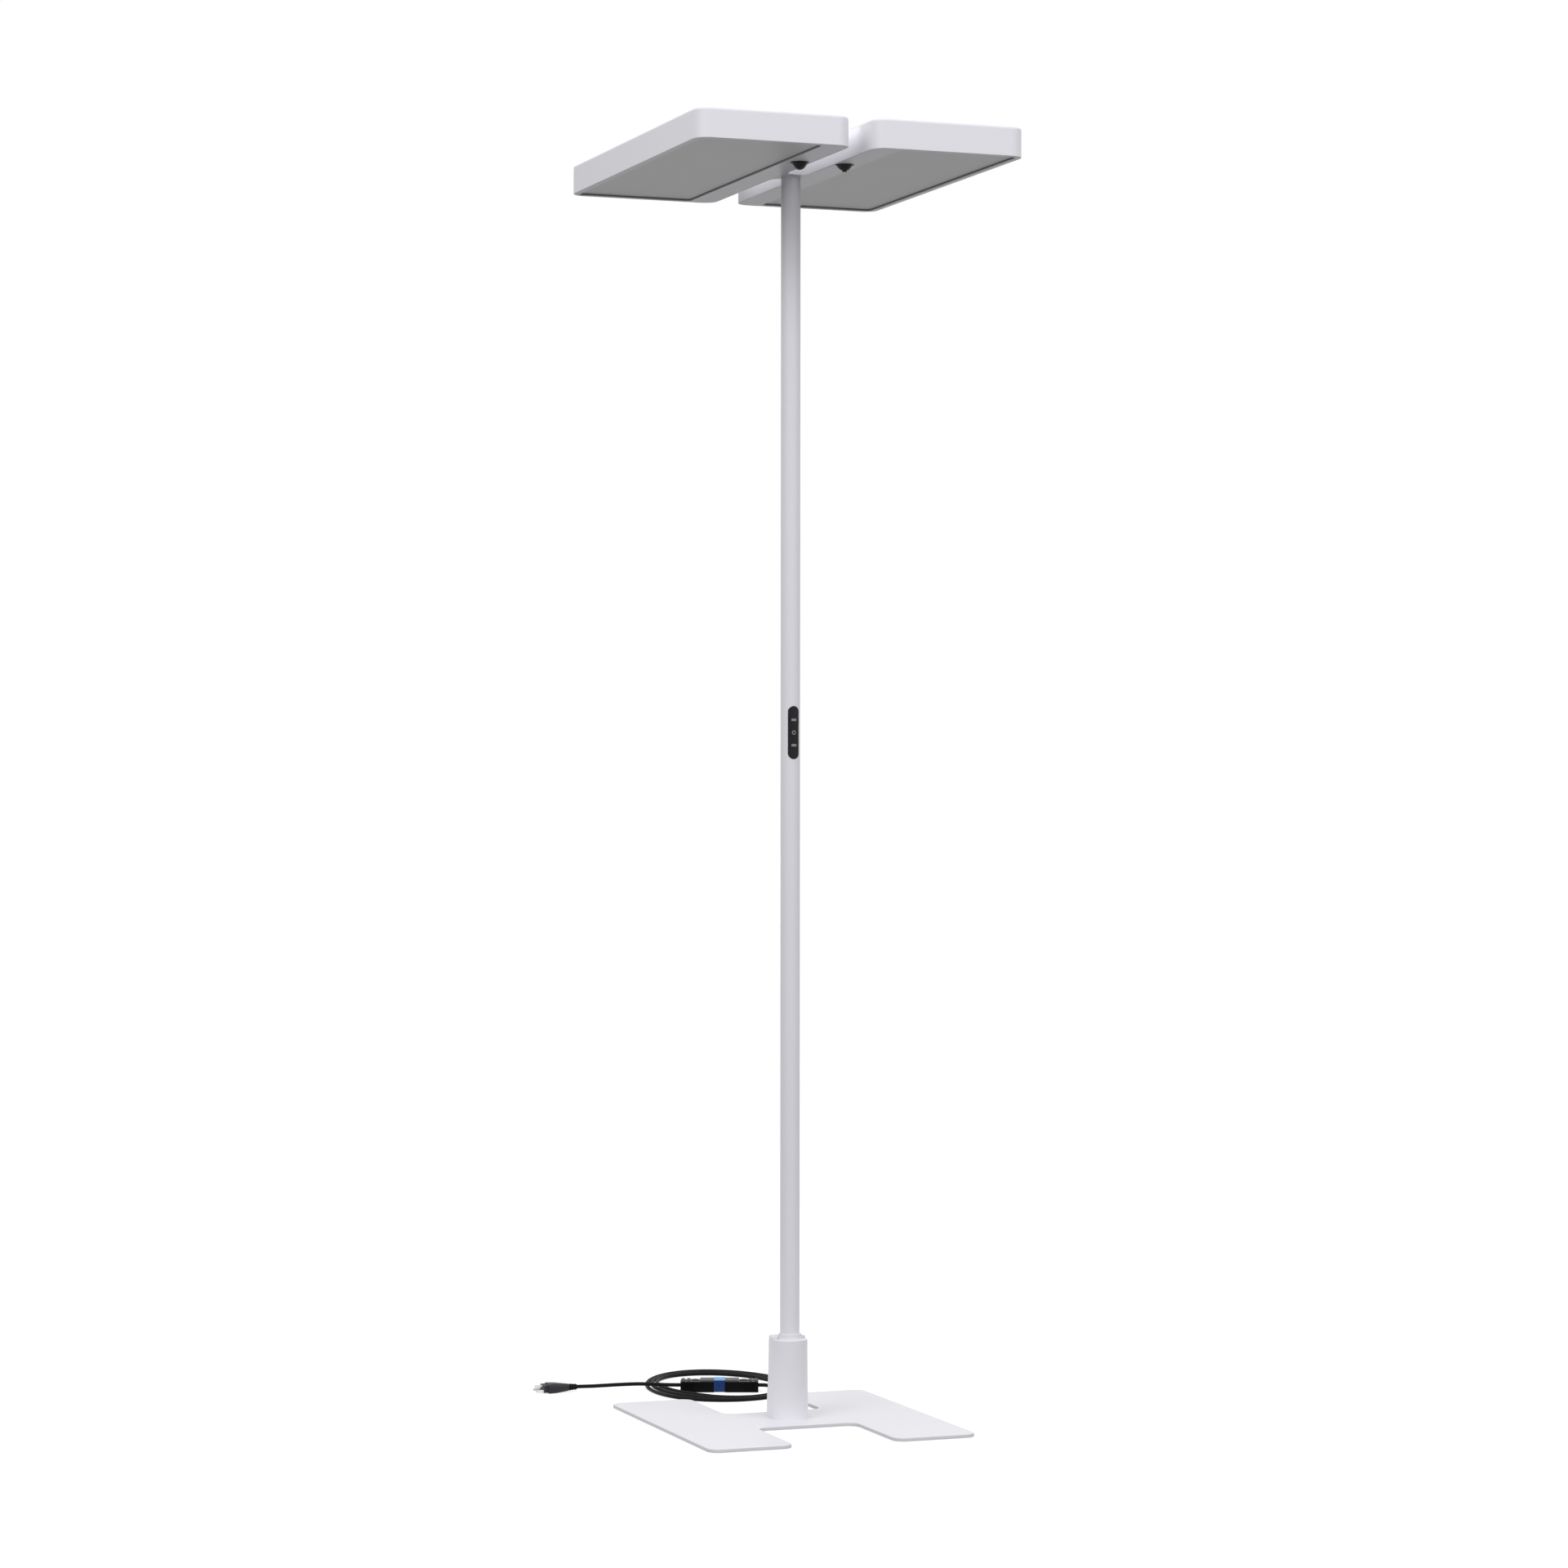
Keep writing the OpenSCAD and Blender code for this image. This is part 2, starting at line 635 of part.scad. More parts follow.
module key(i) color("black") translate([0, 0, panel_z + i * key_pitch]) {
  difference() {
    intersection() {
      translate([0, 0, -20]) cylinder(r = key_face_r, h = 40);
      key_prism(key_w, key_h, 2.8);
    }
    translate([-20, key_back_y, -20]) cube([40, 40, 40]);
  }
  translate([-5, key_back_y - 1, -8.8]) cube([10, 1, 17.6]);
}
module key_up() key(1);
module key_power() key(0);
module key_down() key(-1);

module key_mat() color("lightgray") difference() {
  union() {
    translate([-7, mat_y, panel_z - 30]) cube([14, 1, 60]);
    at_keys() translate([0, mat_y + seam, 0]) rotate([90, 0, 0]) cylinder(d1 = 6.5, d2 = 4.6, h = 1.1);
  }
  at_keys() translate([-2.6, mat_y + 0.1, -2.6]) cube([5.2, 1, 5.2]);
}

module switch_board() color("seagreen") {
  translate([-8, mat_y + 1, panel_z - 32]) cube([16, 1.6, 64]);
  at_keys() translate([-2.5, mat_y + 0.2, -2.5]) cube([5, 0.8 + seam, 5]);
}

module panel_carrier() color("dimgray") {
  translate([-9, mat_y + 2.6, panel_z - 37]) cube([18, 2, 74]);
  for (s = [-1, 1]) intersection() {
    translate([-5.5, -bore_r, panel_z + s * 35 - 2]) cube([11, bore_r + mat_y + 3, 4]);
    translate([0, 0, panel_z - 40]) cylinder(r = bore_r, h = 80);
  }
}

// ------------------------------------------------------------------ cord: routes

function laid(p) = [p[0] * cos(cord_turn) - p[1] * sin(cord_turn),
                    p[0] * sin(cord_turn) + p[1] * cos(cord_turn), p[2]];
function lerp(a, b, t) = a + (b - a) * t;

// The coil is one flat spiral of uneven loops. It starts beside the coupling, runs clockwise
// and ends at its outer turn on the side that faces the column.
function coil_point(angle) =
  let (u = (-80 - angle) / 360,
       left = -213 - 8 * u, right = -15.5 + 10.5 * u,
       near = 234.5 - 18.8 * u, far = 470.5 + 14.5 * u,
       lean = 0.386 - 0.096 * u, egg = -0.078 + 0.081 * u,
       half_w = (right - left) / 2, half_l = (far - near) / 2)
  [(left + right) / 2 + half_w * cos(angle),
   (near + far) / 2 + half_l * sin(angle) * (1 - egg * cos(angle)) - lean * half_w * cos(angle), cord_lie];
coil_steps = round((coil_from - coil_to) * rings_per_turn / 360);
coil_curve = [for (i = [0 : coil_steps]) coil_point(lerp(coil_from, coil_to, i / coil_steps))];
function unit(v) = v / norm(v);
coil_in_heading = unit(coil_point(coil_from - 1) - coil_point(coil_from));
coil_out_heading = unit(coil_point(coil_to) - coil_point(coil_to + 1));
coil_in = coil_curve[0] - cord_d * coil_in_heading;
coil_out = coil_curve[coil_steps] + cord_d * coil_out_heading;
coil_route = concat([coil_in], coil_curve, [coil_out]);

// Free stretches: from the lamp to the coil, from the coupling into the coil, and out to the plug
function unlaid(p) = [p[0] * cos(cord_turn) + p[1] * sin(cord_turn),
                      p[1] * cos(cord_turn) - p[0] * sin(cord_turn), p[2]];
lead_route = concat([coil_out, coil_out + cord_d * coil_out_heading],
  [[14, 334, 3.1], [15, 319, 3.1], [14.5, 304, 3.1], [12, 289, 3.1], [7.5, 274, 3.1], [1.5, 259.5, 3.1],
   [-4.5, 245, 3.1], [-8.5, 230, 3.1], [-11, 215, 3.1], [-12.5, 200, 3.1], [-14, 185, 3.1],
   [-15.5, 170, 3.1], [-17.5, 155, 3.1], [-19.5, 140, 3.3], [-21.5, 126, 4.8], [-23, 113, 7.6],
   [-24.2, 100.5, 10.8], [-25, 87, 13.6], [-25.2, 74.5, 15.4]],
  [unlaid([0, gland_out + cord_d, gland_z]), unlaid([0, gland_out, gland_z])]);
link_route = concat(
  [[-50, 311, 10], [-45, 311, 10], [-39, 310.1, 9.9], [-33, 307.7, 9.5], [-27.8, 303.7, 8.9],
   [-23.8, 298.5, 8.1], [-21.4, 292.5, 7.2], [-20.5, 286, 6.3], [-20.8, 279.5, 5.4], [-22.6, 273, 4.6],
   [-26, 265, 3.8], [-32, 256.5, 3.3], [-39, 248, 3.1], [-47, 240, 3.1], [-56, 233.5, 3.1], [-67, 229, 3.1],
   [-79, 226.5, 3.1], [-91, 226.5, 3.1], [-103, 228.5, 3.1], [-114, 232, 3.1], [-124, 236.6, 3.1]],
  [coil_in - cord_d * coil_in_heading, coil_in]);
tail_route = [[-175, 311, 10], [-182, 311, 10], [-193, 312.4, 9.9], [-205, 315.3, 9.8], [-217, 319, 9.8],
  [-230, 322.6, 9.7], [-243, 325.3, 9.4], [-256, 326.8, 8.9], [-269, 327, 8.3], [-282, 325.8, 7.8],
  [-294, 323.1, 7.5], [-305, 319.8, 7.3], [-315, 316.6, 7.2], [-324, 313.8, 7.3], [-331, 311.6, 7.4],
  [-336.3, 309.85, 7.5], [-342, 308, 7.5]];

// Least distance between stretches of the coil that are more than a third of a turn apart
coil_gap = min([for (a = [coil_from : -3 : coil_to]) for (b = [a - 120 : -3 : coil_to])
  norm(coil_point(a) - coil_point(b))]) - cord_d;
echo(coil_gap_to_itself = coil_gap);

// ------------------------------------------------------------------ cord: tube

function ring_about(p, ahead, sides, r) =
  let (side = unit(cross(ahead, [0, 0, 1])), up = cross(side, ahead))
  [for (k = [0 : sides - 1]) let (a = (k + 0.5) * 360 / sides) p + r * (cos(a) * side + sin(a) * up)];

module tube(route, sides) {
  n = len(route);
  path = [for (p = route) laid(p)];
  rings = [for (i = [0 : n - 1])
    let (ahead = unit(path[min(i + 1, n - 1)] - path[max(i - 1, 0)]))
    ring_about(path[i], ahead, sides, cord_r)];
  points = [for (ring = rings) for (p = ring) p];
  walls = [for (i = [0 : n - 2], k = [0 : sides - 1])
    let (a = i * sides + k, b = i * sides + (k + 1) % sides)
    each [[a, b, b + sides], [a, b + sides, a + sides]]];
  first = [for (k = [1 : sides - 2]) [0, k + 1, k]];
  last = [for (k = [1 : sides - 2]) [0, k, k + 1] + [1, 1, 1] * (n - 1) * sides];
  polyhedron(points, concat(walls, first, last));
}

module cord_lead() color("black") tube(lead_route, 8);
module cord_coil() color("black") tube(coil_route, 6);
module cord_link() color("black") tube(link_route, 8);
module cord_tail() color("black") tube(tail_route, 8);

// ------------------------------------------------------------------ cord: pieces on it

// Strain relief: a ribbed taper, clamped in the socket's back wall by a flange on either side of it
module cord_gland() color("black") translate([0, 0, gland_z]) rotate([-90, 0, 0]) {
  wall_y = rear_depth_low - 0.2;
  taper_y = wall_y + 2.2;
  translate([0, 0, wall_y - 5]) cylinder(d = 9, h = 6);
  translate([0, 0, wall_y - 5.2]) cylinder(d = 12, h = 1.8);
  translate([0, 0, wall_y]) cylinder(d = 13, h = 2.4);
  translate([0, 0, taper_y - seam]) cylinder(d1 = 11.5, d2 = 8, h = gland_out - taper_y);
  for (i = [0 : 4]) translate([0, 0, taper_y + 2 + 4 * i]) cylinder(d = 12 - 0.6 * i, h = 2);
}

// Half of the in-line coupling, its mating face at x = 0 and its cable end towards +x. The end part is a
// little lower than the middle and carries a screw cup and two notched ledges.
module coupling_shell(reach) {
  middle = 31;
  end_h = coupling_h - 2.5;
  edge_r = 1.5;
  difference() {
    union() {
      translate([0, edge_r - coupling_w / 2, 0]) cube([middle, coupling_w - 2 * edge_r, coupling_h]);
      translate([0, -coupling_w / 2, edge_r]) cube([middle, coupling_w, coupling_h - 2 * edge_r]);
      translate([0, edge_r - coupling_w / 2, 0]) cube([reach, coupling_w - 2 * edge_r, end_h]);
      translate([0, -coupling_w / 2, edge_r]) cube([reach, coupling_w, end_h - 2 * edge_r]);
      for (s = [-1, 1]) translate([0, s * (coupling_w / 2 - edge_r), 0]) {
        translate([0, 0, edge_r]) rotate([0, 90, 0]) cylinder(r = edge_r, h = reach);
        translate([0, 0, end_h - edge_r]) rotate([0, 90, 0]) cylinder(r = edge_r, h = reach);
        translate([0, 0, coupling_h - edge_r]) rotate([0, 90, 0]) cylinder(r = edge_r, h = middle);
      }
      translate([middle + 8, 0, end_h - seam]) cylinder(d = 13, h = 1.6);
      for (x = [middle + 16, reach - 6.5]) translate([x, -coupling_w / 2 + 4, end_h - seam])
        cube([5, coupling_w - 8, 2]);
    }
    translate([middle + 8, 0, end_h - 3]) cylinder(d = 9, h = 10);
    translate([middle + 15, -3, end_h - 1]) cube([reach, 6, 10]);
    // Finger grooves in both sides
    for (s = [-1, 1], i = [0 : 3]) translate([middle + 12 + 4.5 * i, s * (coupling_w / 2 + 0.8), -1])
      cylinder(r = 1.8, h = coupling_h + 2);
  }
}

module coupling_at(x, turn) rotate([0, 0, cord_turn])
  translate([x, coupling_y, coupling_z - coupling_h / 2]) rotate([0, 0, turn]) children();

coupling_mid = (coupling_x[0] + coupling_x[1]) / 2;

module clip_space() coupling_at(coupling_mid, 0) difference() {
  translate([-clip_w / 2, -coupling_w, -1]) cube([clip_w, 2 * coupling_w, coupling_h + 2]);
  translate([-clip_w, -coupling_w / 2 + 1, 1]) cube([2 * clip_w, coupling_w - 2, coupling_h - 2]);
}

module coupling_plug_half() color("black") difference() {
  coupling_at(coupling_mid, 0) coupling_shell(coupling_l / 2);
  clip_space();
}

module coupling_socket_half() color("black") difference() {
  coupling_at(coupling_mid, 180) coupling_shell(coupling_l / 2);
  clip_space();
}

// Locking clip that wraps the joint of the two halves
module coupling_clip() color("royalblue") coupling_at(coupling_mid, 0) difference() {
  translate([-clip_w / 2, -coupling_w / 2 - 0.4, 1]) cube([clip_w, coupling_w + 0.8, coupling_h - 0.6]);
  translate([-clip_w, -coupling_w / 2 + 1, 0]) cube([2 * clip_w, coupling_w - 2, coupling_h - 1]);
  for (s = [-1, 1]) translate([0, s * (coupling_w / 2 + 0.4), coupling_h / 2]) rotate([90, 0, 0])
    cylinder(d = 3, h = 1.2, center = true);
}

// Plug, laid flat on the floor with its pins towards -x. Behind its nose the body tapers to the relief.
module plug_at() rotate([0, 0, cord_turn]) translate(plug_tail) rotate([0, 0, plug_yaw]) children();

// Upright slice of the plug's body with chamfered corners
module plug_slice(x, w, h, chamfer) translate([x, 0, 0]) rotate([90, 0, 90]) linear_extrude(seam)
  polygon([[chamfer - w / 2, -h / 2], [w / 2 - chamfer, -h / 2], [w / 2, chamfer - h / 2],
           [w / 2, h / 2 - chamfer], [w / 2 - chamfer, h / 2], [chamfer - w / 2, h / 2],
           [-w / 2, h / 2 - chamfer], [-w / 2, chamfer - h / 2]]);

module plug_body() color("black") plug_at() {
  shoulder = plug_nose_l - plug_l;
  hull() {
    plug_slice(shoulder, plug_w - 2, 13.6, 3);
    plug_slice(shoulder + 2, plug_w, 15, 3.4);
    plug_slice(shoulder + 14, plug_w - 4, 14.6, 3.4);
    plug_slice(-plug_relief_l - seam, 13, 10.5, 3);
  }
  translate([-plug_l, -plug_w / 2 + 3, -5.8]) cube([plug_nose_l + seam, plug_w - 6, 11.6]);
}

module plug_relief() color("black") plug_at() translate([-plug_relief_l, 0, 0]) rotate([0, 90, 0]) {
  cylinder(d1 = 9, d2 = 8, h = plug_relief_l, $fn = 48);
  for (i = [0 : 2]) translate([0, 0, 1.6 + i * 4.2]) cylinder(d = 11 - i * 0.7, h = 2.4);
}

module plug_pins() color("silver") plug_at() for (y = [-9.5, 0, 9.5])
  translate([-plug_l, y, y == 0 ? 3.2 : -3]) rotate([0, -90, 0]) {
    cylinder(d = 4, h = 12);
    translate([0, 0, 12]) cylinder(d1 = 4, d2 = 2, h = 1.3);
  }

// ------------------------------------------------------------------ the parts

base_plate();
foot_pads();
flange_screws();
column_spigot();
column_set_screws();
column_tube();
column_collar();
column_top_plug();
column_cable();
terminal_block();
socket_front_shell();
rear_cover();
rear_cover_screws();
bridge_block();
bridge_cover();
bridge_screws();
left_housing();
right_housing();
left_diffuser();
right_diffuser();
left_uplight_cover();
right_uplight_cover();
left_gear_tray();
right_gear_tray();
left_tray_screws();
right_tray_screws();
left_down_boards();
right_down_boards();
left_up_board();
right_up_board();
left_driver();
right_driver();
left_sensor_lens();
right_sensor_lens();
left_sensor_body();
right_sensor_body();
panel_bezel();
key_up();
key_power();
key_down();
key_mat();
switch_board();
panel_carrier();
cord_gland();
cord_lead();
cord_coil();
cord_link();
cord_tail();
coupling_plug_half();
coupling_socket_half();
coupling_clip();
plug_body();
plug_relief();
plug_pins();
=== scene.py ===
import json
import math

import bmesh
import bpy
from mathutils import Matrix, Vector


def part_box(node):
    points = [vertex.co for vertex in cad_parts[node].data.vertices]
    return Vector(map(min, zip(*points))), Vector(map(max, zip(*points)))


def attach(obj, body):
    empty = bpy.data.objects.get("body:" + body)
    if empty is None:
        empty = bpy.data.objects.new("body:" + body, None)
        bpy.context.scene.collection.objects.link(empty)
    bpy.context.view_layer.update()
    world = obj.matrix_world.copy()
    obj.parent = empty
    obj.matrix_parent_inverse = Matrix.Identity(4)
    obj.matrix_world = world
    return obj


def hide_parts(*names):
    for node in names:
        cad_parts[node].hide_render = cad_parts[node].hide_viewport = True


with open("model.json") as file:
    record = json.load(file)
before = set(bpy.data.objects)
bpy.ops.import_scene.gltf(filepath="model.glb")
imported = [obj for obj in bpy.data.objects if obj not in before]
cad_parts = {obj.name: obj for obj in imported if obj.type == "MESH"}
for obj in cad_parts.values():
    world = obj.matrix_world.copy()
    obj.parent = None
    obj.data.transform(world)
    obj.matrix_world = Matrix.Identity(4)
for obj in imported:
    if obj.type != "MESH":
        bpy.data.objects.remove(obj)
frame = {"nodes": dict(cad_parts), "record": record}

for startName in ("Cube", "Light", "Camera"):
    if startName in bpy.data.objects:
        bpy.data.objects.remove(bpy.data.objects[startName])
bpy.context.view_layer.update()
nodes = frame["nodes"]
print("frame loaded:", len(nodes), "nodes")

# ---- camera: solved from the straight edges of the heads, the column and the base plate

camera = {
    "photoPixels": 1920,
    "sensorWidth": 36,
    "reach": 200,
    "focalPixels": 4868.725471,
    "place": (-2.1508598, -5.6943246, 0.9678625),
    "yaw": 0.3595731598,
    "pitch": 0.0014049489,
    "roll": 0.0008977259,
}


def setCamera(spec):
    lens = bpy.data.cameras.new("photoCamera")
    lens.sensor_width = spec["sensorWidth"]
    lens.lens = spec["sensorWidth"] * spec["focalPixels"] / spec["photoPixels"]
    lens.clip_end = spec["reach"]
    view = bpy.data.objects.new("photoCamera", lens)
    turn = (Matrix.Rotation(-spec["yaw"], 4, "Z")
            @ Matrix.Rotation(math.pi / 2 + spec["pitch"], 4, "X")
            @ Matrix.Rotation(spec["roll"], 4, "Z"))
    view.matrix_world = Matrix.Translation(spec["place"]) @ turn
    bpy.context.scene.collection.objects.link(view)
    bpy.context.scene.camera = view


setCamera(camera)
bpy.context.scene.view_settings.view_transform = "Standard"
print("camera set")

# ---- node trees: one class for a socket's maths, one for adding nodes


class Wire:
    def __init__(self, bench, socket):
        self.bench, self.socket = bench, socket

    def maths(self, operation, first, second=0.0, **settings):
        return self.bench.add("ShaderNodeMath", {0: first, 1: second}, operation=operation, **settings)

    def __add__(self, other):
        return self.maths("ADD", self, other)

    def __sub__(self, other):
        return self.maths("SUBTRACT", self, other)

    def __mul__(self, other):
        return self.maths("MULTIPLY", self, other)

    def __rsub__(self, other):
        return self.maths("SUBTRACT", other, self)

    __radd__ = __add__

    def __abs__(self):
        return self.maths("ABSOLUTE", self)

    def over(self, edge, softness):
        # 0 below the edge, 1 above it, with a short ramp between
        return self.maths("MULTIPLY", self - edge, 1 / softness, use_clamp=True)


class Bench:
    def __init__(self, tree):
        self.tree = tree

    def add(self, kind, sockets=None, out=0, stops=None, **settings):
        node = self.tree.nodes.new(kind)
        for key, value in settings.items():
            setattr(node, key, value)
        if stops:
            for element, (place, shade) in zip(node.color_ramp.elements, stops):
                element.position, element.color = place, (shade, shade, shade, 1)
        for key, value in (sockets or {}).items():
            if isinstance(value, Wire):
                self.tree.links.new(value.socket, node.inputs[key])
            else:
                node.inputs[key].default_value = value
        return Wire(self, node.outputs[out]) if len(node.outputs) else None

    def place(self):
        return self.add("ShaderNodeTexCoord", out=3)

    def stretched(self, scale):
        return self.add("ShaderNodeMapping", {"Vector": self.place(), "Scale": scale})

    def noise(self, scale, detail=2.0, vector=None):
        return self.add("ShaderNodeTexNoise",
                        {"Vector": vector or self.place(), "Scale": scale, "Detail": detail})

    def cells(self, scale, **settings):
        return self.add("ShaderNodeTexVoronoi", {"Vector": self.place(), "Scale": scale}, **settings)

    def tint(self, amount, first, second):
        return self.add("ShaderNodeMix", {0: amount, 6: first, 7: second}, out=2, data_type="RGBA")

    def bump(self, height, strength, distance):
        return self.add("ShaderNodeBump", {"Height": height, "Strength": strength, "Distance": distance})


def colour(red, green, blue):
    return (red, green, blue, 1.0)


def newFinish(name):
    finish = bpy.data.materials.new(name)
    finish.use_nodes = True
    finish.node_tree.nodes.clear()
    return finish, Bench(finish.node_tree)


def close(bench, shader):
    bench.add("ShaderNodeOutputMaterial", {"Surface": shader})


def surface(bench, sockets):
    close(bench, bench.add("ShaderNodeBsdfPrincipled", sockets))


# ---- finishes

powderCoat = {"light": colour(0.815, 0.812, 0.838), "shade": colour(0.790, 0.788, 0.815),
              "peelScale": 420.0, "grainScale": 2600.0}


def satinWhite():
    finish, bench = newFinish("satinWhite")
    cloud = bench.noise(3.5, 3)
    peel = bench.noise(powderCoat["peelScale"], 2)
    grain = bench.noise(powderCoat["grainScale"], 1)
    surface(bench, {
        "Base Color": bench.tint(cloud, powderCoat["shade"], powderCoat["light"]),
        "Roughness": 0.34 + cloud * 0.10 + grain * 0.06,
        "Normal": bench.bump(peel * 0.7 + grain * 0.3, 0.10, 0.0004),
        "Specular IOR Level": 0.15, "Coat Weight": 0.02, "Coat Roughness": 0.22})
    return finish


opal = {"light": colour(0.715, 0.708, 0.695), "shade": colour(0.685, 0.680, 0.668), "lensScale": 900.0}


def opalAcrylic():
    finish, bench = newFinish("opalAcrylic")
    cloud = bench.noise(2.2, 2)
    lenses = bench.cells(opal["lensScale"])
    surface(bench, {
        "Base Color": bench.tint(cloud, opal["shade"], opal["light"]),
        "Roughness": 0.42 + lenses * 0.08,
        "Normal": bench.bump(lenses, 0.12, 0.0003),
        "Specular IOR Level": 0.20})
    return finish


def prismAcrylic():
    finish, bench = newFinish("prismAcrylic")
    cloud = bench.noise(5, 2)
    haze = bench.noise(700, 2)
    surface(bench, {
        "Base Color": bench.tint(cloud, colour(0.78, 0.80, 0.81), colour(0.84, 0.86, 0.87)),
        "Roughness": 0.22 + haze * 0.12,
        "Normal": bench.bump(haze, 0.08, 0.0002),
        "Coat Weight": 0.2, "Coat Roughness": 0.1})
    return finish


def metal(name, shade, light, rough, lines):
    # lines stretches the brushing along one axis
    finish, bench = newFinish(name)
    brushed = bench.noise(1.0, 3, bench.stretched(lines))
    stain = bench.noise(35, 3)
    surface(bench, {
        "Base Color": bench.tint(stain, shade, light),
        "Metallic": 1.0,
        "Roughness": rough + brushed * 0.14 + stain * 0.08,
        "Normal": bench.bump(brushed, 0.15, 0.0002)})
    return finish


def plastic(name, shade, light, rough, grainScale, grainDepth, gloss=0.5):
    finish, bench = newFinish(name)
    cloud = bench.noise(28, 3)
    grain = bench.noise(grainScale, 2)
    surface(bench, {
        "Base Color": bench.tint(cloud, shade, light),
        "Roughness": rough + cloud * 0.08 + grain * 0.06,
        "Normal": bench.bump(grain, 0.3, grainDepth),
        "Specular IOR Level": gloss})
    return finish


def circuitWhite():
    # white solder mask with dark traces and copper pads
    finish, bench = newFinish("circuitWhite")
    cells = bench.cells(160, feature="DISTANCE_TO_EDGE")
    trace = 1 - cells.over(0.04, 0.02)
    cloud = bench.noise(60, 2)
    surface(bench, {
        "Base Color": bench.tint(trace * 0.35, colour(0.84, 0.84, 0.82), colour(0.55, 0.50, 0.40)),
        "Roughness": 0.30 + cloud * 0.12,
        "Normal": bench.bump(trace, 0.2, 0.0001)})
    return finish


def cordSheath():
    finish, bench = newFinish("cordSheath")
    dust = bench.noise(46, 4)
    grain = bench.noise(1500, 2)
    surface(bench, {
        "Base Color": bench.tint(dust, colour(0.003, 0.003, 0.003), colour(0.007, 0.007, 0.008)),
        "Roughness": 0.42 + dust * 0.16 + grain * 0.06,
        "Normal": bench.bump(grain, 0.2, 0.0002),
        "Specular IOR Level": 0.12})
    return finish


panel = {"pitch": 0.0194, "middle": 1.055, "dash": (0.0042, 0.0021), "ring": 0.0025,
         "line": 0.0009, "softness": 0.0005}


def keyBlack():
    # pale printed signs: a dash on the upper and lower keys and a ring on the middle one
    finish, bench = newFinish("keyBlack")
    across = bench.add("ShaderNodeSeparateXYZ", {"Vector": bench.place()})
    upward = Wire(bench, across.socket.node.outputs[2])
    soft = panel["softness"]
    signs = None
    for step in (-1, 1):
        level = abs(upward - (panel["middle"] + step * panel["pitch"]))
        dash = ((panel["dash"][0] - abs(across)).over(0, soft)
                * (panel["dash"][1] - level).over(0, soft))
        signs = dash if signs is None else signs + dash
    level = upward - panel["middle"]
    away = across.maths("POWER", across * across + level * level, 0.5)
    signs = signs + (panel["line"] - abs(away - panel["ring"])).over(0, soft)
    cloud = bench.noise(60, 3)
    grain = bench.noise(2400, 2)
    black = bench.tint(cloud, colour(0.006, 0.006, 0.007), colour(0.011, 0.011, 0.012))
    surface(bench, {
        "Base Color": bench.tint(signs, black, colour(0.26, 0.26, 0.27)),
        "Roughness": 0.30 + cloud * 0.10 + signs * 0.12,
        "Normal": bench.bump(grain, 0.1, 0.0001),
        "Specular IOR Level": 0.18, "Coat Weight": 0.02, "Coat Roughness": 0.2})
    return finish


# above the height of top, over the depth of rim, the flank's colours give way to the top colour: the top
# is a painted highlight, as if lit from above, and on the clip the flanks are painted shade, a shaded
# copy of the same blue
clip = {"top": 0.0188, "rim": 0.0008, "gloss": 0.25, "paintedTopLight": colour(0.100, 0.340, 0.720),
        "flank": (colour(0.007, 0.038, 0.140), colour(0.010, 0.048, 0.165))}


# on the black shells the paler top colour is a painted sheen from the light above
shell = {"top": 0.0168, "rim": 0.0006, "gloss": 0.07, "paintedTopLight": colour(0.085, 0.085, 0.090),
         "flank": (colour(0.002, 0.002, 0.002), colour(0.005, 0.005, 0.005))}


def topLitPlastic(name, spec):
    # dark flanks, and a top painted paler: a painted highlight from the light above, on the black shells
    # and on the clip, where the flanks also hold painted shade
    finish, bench = newFinish(name)
    height = bench.add("ShaderNodeSeparateXYZ", {"Vector": bench.place()}, out=2)
    # painted light: this mask gives the top faces the lit colour
    paintedTopLight = height.over(spec["top"], spec["rim"])
    cloud = bench.noise(60, 3)
    grain = bench.noise(1800, 2)
    surface(bench, {
        "Base Color": bench.tint(paintedTopLight, bench.tint(cloud, *spec["flank"]), spec["paintedTopLight"]),
        "Roughness": 0.30 + cloud * 0.08 + grain * 0.06,
        "Normal": bench.bump(grain, 0.3, 0.0002),
        "Specular IOR Level": spec["gloss"]})
    return finish


def sensorGloss():
    finish, bench = newFinish("sensorGloss")
    specks = 1 - bench.cells(2100).over(0.12, 0.04)
    cloud = bench.noise(90, 2)
    surface(bench, {
        "Base Color": bench.tint(specks * 0.3, colour(0.003, 0.003, 0.004), colour(0.03, 0.03, 0.03)),
        "Roughness": 0.22 + cloud * 0.08 + specks * 0.2,
        "Normal": bench.bump(cloud, 0.05, 0.0002),
        "Specular IOR Level": 0.12, "Coat Weight": 0.02, "Coat Roughness": 0.2})
    return finish


